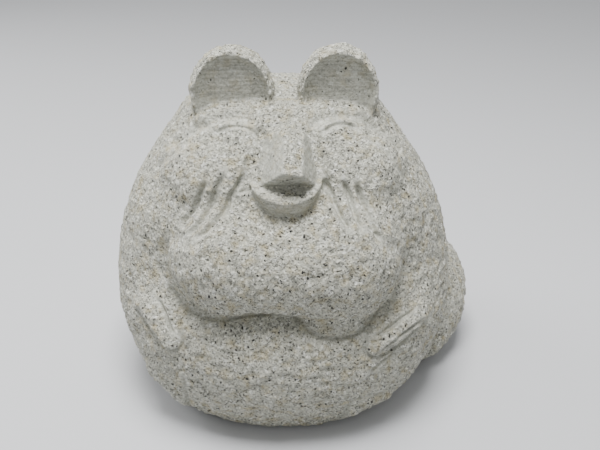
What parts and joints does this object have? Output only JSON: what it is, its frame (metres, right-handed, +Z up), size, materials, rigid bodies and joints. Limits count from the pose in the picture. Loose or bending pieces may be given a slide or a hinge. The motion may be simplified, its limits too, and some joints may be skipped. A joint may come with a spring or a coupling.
{
  "type": "stone tanuki statue",
  "caption": "Sitting raccoon dog carved from one block of speckled granite, round body, upright ears, ridged nose, whisker cuts and a tail laid along one side.",
  "frame": {"origin": "on the flat underside, under the body's upright centre line, with the tail at +X", "axes": "+Z up, the face looks along -Y, +X is the viewer's right"},
  "size_m": [0.3163, 0.2761, 0.3],
  "materials": {
    "granite": "bush-hammered pale grey granite with ochre and black flecks, matte"
  },
  "bodies": {
    "root": {"tanuki_statue": "granite"}
  },
  "joints": []
}
